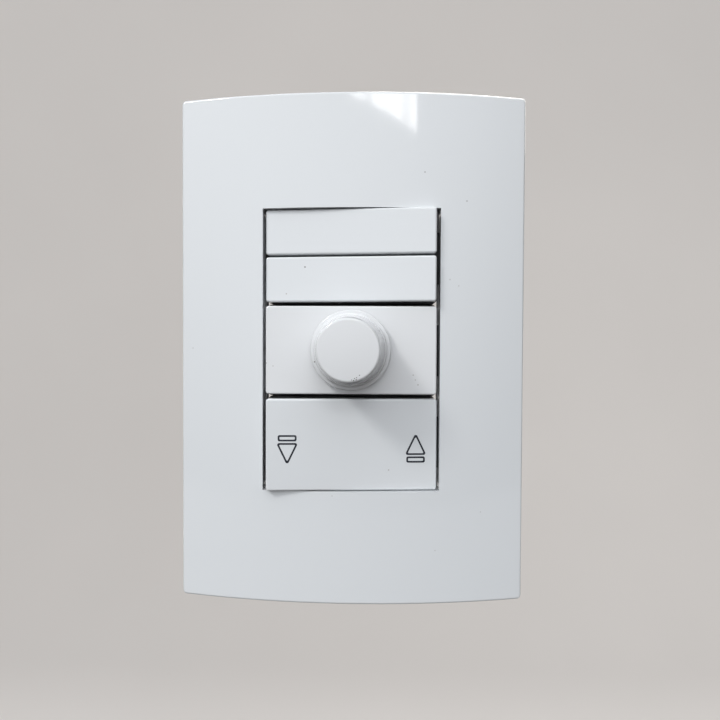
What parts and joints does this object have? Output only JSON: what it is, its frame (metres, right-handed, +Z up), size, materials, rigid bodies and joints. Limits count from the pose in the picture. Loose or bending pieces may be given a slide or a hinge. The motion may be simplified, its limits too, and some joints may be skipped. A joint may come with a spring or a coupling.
{
  "type": "fan speed control switch",
  "caption": "Wall-mounted fan speed control: a white cover plate over rocker switches and a round speed knob, with the switch and regulator modules behind it.",
  "frame": {"origin": "on the wall plane, midway between the two wall-box screws, which is the middle of the wall plate", "axes": "+X to the right and +Z up as seen from the front; +Y goes into the wall, so the faces look along -Y"},
  "size_m": [0.08, 0.0409, 0.1164],
  "materials": {
    "plate_white": "glossy moulded plastic, slightly cool white",
    "cover_white": "glossy moulded plastic, white",
    "knob_white": "satin moulded plastic, white",
    "rocker_white": "glossy moulded plastic, white",
    "frame_grey": "fine-textured moulded plastic, light grey",
    "housing_black": "fine-textured moulded plastic, near black",
    "plunger_white": "smooth moulded plastic, natural",
    "spindle_grey": "smooth plastic, grey",
    "phenolic_brown": "phenolic sheet, brown",
    "spring_bronze": "rolled spring bronze",
    "spring_steel": "drawn wire",
    "bar_copper": "stamped copper strip",
    "contact_silver": "polished silver contact",
    "terminal_brass": "stamped brass",
    "zinc_steel": "zinc-plated steel",
    "nickel_steel": "nickel-plated steel",
    "tinned_copper": "tinned metal",
    "board_green": "circuit board with green solder mask",
    "sink_aluminium": "plain rolled aluminium",
    "triac_black": "moulded epoxy, black",
    "capacitor_red": "dipped film capacitor, dark red",
    "resistor_beige": "painted ceramic, beige",
    "diode_blue": "glass-bead diode, blue",
    "ferrite_grey": "sintered ferrite, dark grey",
    "winding_copper": "enamelled copper wire"
  },
  "bodies": {
    "root": {"box_screws": "zinc_steel", "capacitor": "capacitor_red", "choke_core": "ferrite_grey", "choke_winding": "winding_copper", "circuit_board": "board_green", "control_cover": "cover_white", "control_housing": "housing_black", "control_terminal_screws": "zinc_steel", "fan_terminal": "terminal_brass", "first_common_terminal": "terminal_brass", "first_switched_terminal": "terminal_brass", "fixed_contacts": "contact_silver", "heat_sink": "sink_aluminium", "regulator_case": "nickel_steel", "regulator_legs": "tinned_copper", "regulator_nut": "nickel_steel", "regulator_washer": "zinc_steel", "resistance_wafer": "phenolic_brown", "resistors": "resistor_beige", "reversing_common_terminal": "terminal_brass", "reversing_housing": "housing_black", "reversing_left_terminal": "terminal_brass", "reversing_right_terminal": "terminal_brass", "reversing_terminal_screws": "zinc_steel", "second_common_terminal": "terminal_brass", "second_switched_terminal": "terminal_brass", "sink_rivet": "sink_aluminium", "supply_terminal": "terminal_brass", "support_frame": "frame_grey", "triac": "triac_black", "triac_leads": "tinned_copper", "trigger_diode": "diode_blue", "twin_housing": "housing_black", "twin_terminal_screws": "zinc_steel", "wall_plate": "plate_white"},
    "first_rocker": {"first_rocker": "rocker_white", "first_plunger": "plunger_white", "first_spring": "spring_steel"},
    "first_bar": {"first_contact_bar": "bar_copper", "first_bar_contacts": "contact_silver"},
    "second_rocker": {"second_rocker": "rocker_white", "second_plunger": "plunger_white", "second_spring": "spring_steel"},
    "second_bar": {"second_contact_bar": "bar_copper", "second_bar_contacts": "contact_silver"},
    "reversing_rocker": {"reversing_rocker": "rocker_white", "reversing_plunger": "plunger_white", "reversing_spring": "spring_steel"},
    "reversing_bar": {"reversing_contact_bar": "bar_copper", "reversing_bar_contacts": "contact_silver"},
    "knob": {"knob": "knob_white", "spindle": "spindle_grey", "wiper_carrier": "phenolic_brown", "wiper": "spring_bronze"}
  },
  "joints": [
    {"name": "first_rocker_tilt", "type": "hinge", "parent": "root", "child": "first_rocker", "pos_m": [0, -0.0033, 0.027], "axis": [0, 0, 1], "range_deg": [0, 8.2]},
    {"name": "first_bar_tilt", "type": "hinge", "parent": "root", "child": "first_bar", "pos_m": [0, 0.0051, 0.027], "axis": [0, 0, 1], "range_deg": [-18, 0]},
    {"name": "second_rocker_tilt", "type": "hinge", "parent": "root", "child": "second_rocker", "pos_m": [0, -0.0033, 0.0162], "axis": [0, 0, 1], "range_deg": [0, 8.2]},
    {"name": "second_bar_tilt", "type": "hinge", "parent": "root", "child": "second_bar", "pos_m": [0, 0.0051, 0.0162], "axis": [0, 0, 1], "range_deg": [-18, 0]},
    {"name": "reversing_rocker_tilt", "type": "hinge", "parent": "root", "child": "reversing_rocker", "pos_m": [0, -0.0033, -0.0216], "axis": [0, 0, 1], "range_deg": [-8.2, 0]},
    {"name": "reversing_bar_tilt", "type": "hinge", "parent": "root", "child": "reversing_bar", "pos_m": [0, 0.0051, -0.0216], "axis": [0, 0, 1], "range_deg": [0, 18]},
    {"name": "knob_turn", "type": "hinge", "parent": "root", "child": "knob", "pos_m": [0, -0.0075, 0], "axis": [0, 1, 0], "range_deg": [0, 270]}
  ],
  "couplings": [
    {"joint": "first_bar_tilt", "follows": "first_rocker_tilt", "ratio": -2.195},
    {"joint": "second_bar_tilt", "follows": "second_rocker_tilt", "ratio": -2.195},
    {"joint": "reversing_bar_tilt", "follows": "reversing_rocker_tilt", "ratio": -2.195}
  ]
}
